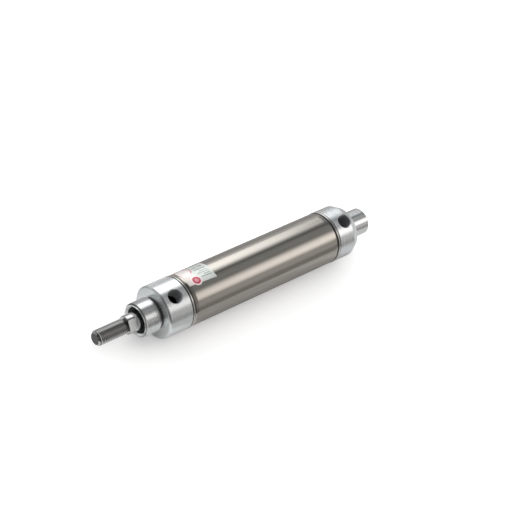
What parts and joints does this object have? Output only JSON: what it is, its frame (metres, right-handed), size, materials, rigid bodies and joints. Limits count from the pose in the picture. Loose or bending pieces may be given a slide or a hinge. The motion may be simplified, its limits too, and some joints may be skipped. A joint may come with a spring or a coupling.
{
  "type": "pneumatic cylinder",
  "caption": "Round double-acting pneumatic cylinder with crimped end covers, threaded front nose, plain rear boss, radial air ports and a threaded piston rod that slides and turns.",
  "frame": {"origin": "centre of the rear boss's end face", "axes": "+X along the cylinder's axis towards the rod's tip, +Z the direction that both air ports face, +Y completes the right-handed set"},
  "size_m": [0.2155, 0.034, 0.0342],
  "materials": {
    "stainless_tube": "drawn, bright",
    "satin_aluminium": "clear anodised, satin",
    "machined_aluminium": "machined",
    "chromed_steel": "hard chrome, polished",
    "zinc_plated_steel": "zinc plated",
    "sintered_bronze": "matt, oiled",
    "nitrile": "matt",
    "polyurethane": "satin",
    "buffer_rubber": "matt",
    "bonded_magnet": "matt",
    "guide_resin": "moulded",
    "label_film": "printed film"
  },
  "bodies": {
    "cylinder_body": {"barrel": "stainless_tube", "front_end_cover": "satin_aluminium", "rear_end_cover": "satin_aluminium", "identification_label": "label_film", "front_cover_o_ring": "nitrile", "rear_cover_o_ring": "nitrile", "front_buffer": "buffer_rubber", "rear_buffer": "buffer_rubber", "rod_bearing_bush": "sintered_bronze", "rod_seal": "polyurethane", "seal_backing_washer": "zinc_plated_steel", "rod_wiper": "nitrile"},
    "piston_seals": {"piston_guide_ring": "guide_resin", "piston_seal_front": "polyurethane", "piston_seal_rear": "polyurethane"},
    "rod_and_piston": {"piston_rod": "chromed_steel", "piston_rear_half": "machined_aluminium", "piston_front_half": "machined_aluminium", "piston_stud_o_ring": "nitrile", "piston_magnet": "bonded_magnet", "piston_washer": "zinc_plated_steel", "piston_nut": "zinc_plated_steel"}
  },
  "joints": [
    {"name": "rod_slide", "type": "slide", "parent": "cylinder_body", "child": "piston_seals", "axis": [1, 0, 0], "range_m": [0, 0.08]},
    {"name": "rod_turn", "type": "hinge", "parent": "piston_seals", "child": "rod_and_piston", "pos_m": [0, 0, 0], "axis": [1, 0, 0], "continuous": true}
  ]
}
